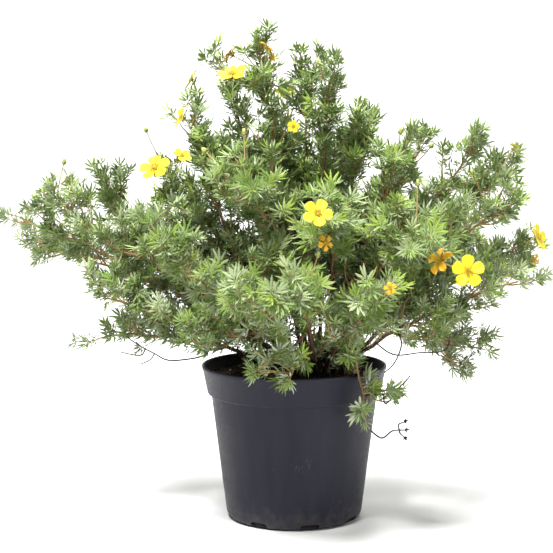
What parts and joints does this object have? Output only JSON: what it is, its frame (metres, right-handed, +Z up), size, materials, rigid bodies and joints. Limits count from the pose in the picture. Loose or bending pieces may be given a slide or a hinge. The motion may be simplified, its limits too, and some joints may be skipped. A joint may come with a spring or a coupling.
{
  "type": "potted potentilla",
  "caption": "Shrubby potentilla in a round nursery pot, with wide arching stems, narrow leaflets and open five-petal flowers.",
  "frame": {"origin": "centre of the pot's flat underside, on the floor", "axes": "+Z up along the pot's axis, -Y towards the front of the plant, +X to the right as seen from the front"},
  "size_m": [0.5639, 0.4928, 0.5191],
  "materials": {
    "pot_plastic": "matte",
    "potting_soil": "matte",
    "stems_and_leaves": "matte",
    "petals_lemon": "satin",
    "petals_orange": "satin"
  },
  "bodies": {
    "root": {"pot": "pot_plastic", "soil": "potting_soil", "leafy_stem_01": "stems_and_leaves", "leafy_stem_02": "stems_and_leaves", "leafy_stem_03": "stems_and_leaves", "leafy_stem_04": "stems_and_leaves", "leafy_stem_05": "stems_and_leaves", "leafy_stem_06": "stems_and_leaves", "leafy_stem_07": "stems_and_leaves", "leafy_stem_08": "stems_and_leaves", "leafy_stem_09": "stems_and_leaves", "leafy_stem_10": "stems_and_leaves", "leafy_stem_11": "stems_and_leaves", "leafy_stem_12": "stems_and_leaves", "leafy_stem_13": "stems_and_leaves", "leafy_stem_14": "stems_and_leaves", "leafy_stem_15": "stems_and_leaves", "leafy_stem_16": "stems_and_leaves", "leafy_stem_17": "stems_and_leaves", "leafy_stem_18": "stems_and_leaves", "leafy_stem_19": "stems_and_leaves", "leafy_stem_20": "stems_and_leaves", "bloom_01": "petals_lemon", "bloom_02": "petals_lemon", "bloom_03": "petals_lemon", "bloom_04": "petals_lemon", "bloom_05": "petals_lemon", "bloom_06": "petals_orange", "bloom_07": "petals_orange", "bloom_08": "petals_lemon", "bloom_09": "petals_lemon", "bloom_10": "petals_orange", "bloom_11": "petals_orange", "bloom_12": "petals_lemon", "bloom_13": "petals_lemon", "bloom_14": "petals_orange", "bloom_15": "petals_lemon", "bloom_16": "petals_orange", "bloom_17": "petals_orange", "bloom_18": "petals_lemon", "bloom_19": "petals_lemon", "bloom_20": "petals_lemon", "bloom_21": "petals_lemon", "bloom_22": "petals_orange", "bloom_23": "petals_lemon"}
  },
  "joints": []
}
